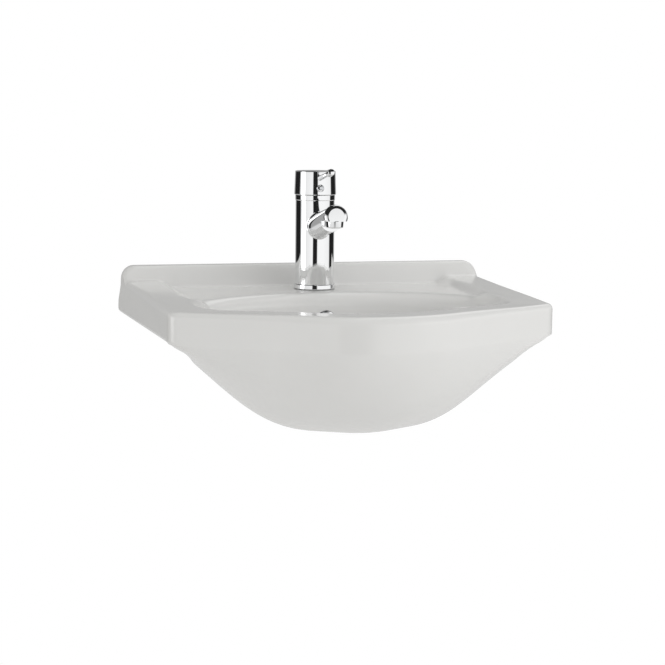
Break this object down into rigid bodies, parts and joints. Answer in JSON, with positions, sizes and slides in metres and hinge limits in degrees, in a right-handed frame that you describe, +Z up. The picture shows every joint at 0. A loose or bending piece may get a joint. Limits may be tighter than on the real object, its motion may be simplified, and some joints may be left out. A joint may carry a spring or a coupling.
{
  "type": "semi-recessed basin",
  "caption": "Semi-recessed wash basin with a pointed front, back upstand, overflow, single-lever pillar mixer tap and push-button waste, hung on a wall over a worktop.",
  "frame": {"origin": "on the wall face, on the centre line, level with the tops of the two side wings", "axes": "+X to the user's right along the wall, +Y into the wall, +Z up; the user stands at -Y"},
  "size_m": [0.5, 0.4249, 0.3212],
  "materials": {
    "glaze": "white gloss glaze",
    "chrome": "bright chrome plate",
    "rubber": "black, matt",
    "brass": "turned brass",
    "steel": "plain steel",
    "plastic": "moulded, off-white",
    "disc": "lapped ceramic",
    "index": "grey gloss"
  },
  "bodies": {
    "basin": {"basin_body": "glaze", "overflow_ring": "chrome", "base_seal": "rubber", "tap_base_ring": "chrome", "tap_body": "chrome", "aerator_housing": "chrome", "aerator_insert": "plastic", "aerator_seal": "rubber", "fixing_stud": "brass", "clamp_gasket": "rubber", "clamp_plate": "steel", "clamp_nut": "brass", "cartridge_seals": "rubber", "cartridge_base": "plastic", "cartridge_housing": "plastic", "fixed_disc": "disc", "cartridge_nut": "brass", "shroud": "chrome", "waste_body": "chrome", "waste_top_seal": "rubber", "waste_under_seal": "rubber", "waste_backnut": "brass", "click_housing": "plastic", "plug_spring": "steel"},
    "turret": {"turret": "plastic", "pivot_pin": "steel"},
    "handle": {"lever_stem": "steel", "handle_cap": "chrome", "lever_pin": "chrome", "lever_knob": "chrome", "grub_screw": "steel", "indicator_plug": "index"},
    "disc": {"moving_disc": "disc"},
    "plug": {"push_stem": "steel", "plug_seal": "rubber", "plug_cap": "chrome"}
  },
  "joints": [
    {"name": "handle_swivel", "type": "hinge", "parent": "basin", "child": "turret", "pos_m": [0, -0.07, 0.1142], "axis": [0, 0, 1], "range_deg": [-50, 50]},
    {"name": "handle_lift", "type": "hinge", "parent": "turret", "child": "handle", "pos_m": [0, -0.07, 0.1142], "axis": [-1, 0, 0], "range_deg": [0, 20]},
    {"name": "disc_slide", "type": "slide", "parent": "turret", "child": "disc", "axis": [0, -1, 0], "range_m": [0, 0.0066]},
    {"name": "plug_press", "type": "slide", "parent": "basin", "child": "plug", "axis": [0, 0, 1], "range_m": [-0.009, 0], "deforming": ["plug_spring"]}
  ],
  "couplings": [
    {"joint": "disc_slide", "follows": "handle_lift", "m_per_rad": 0.018812}
  ]
}
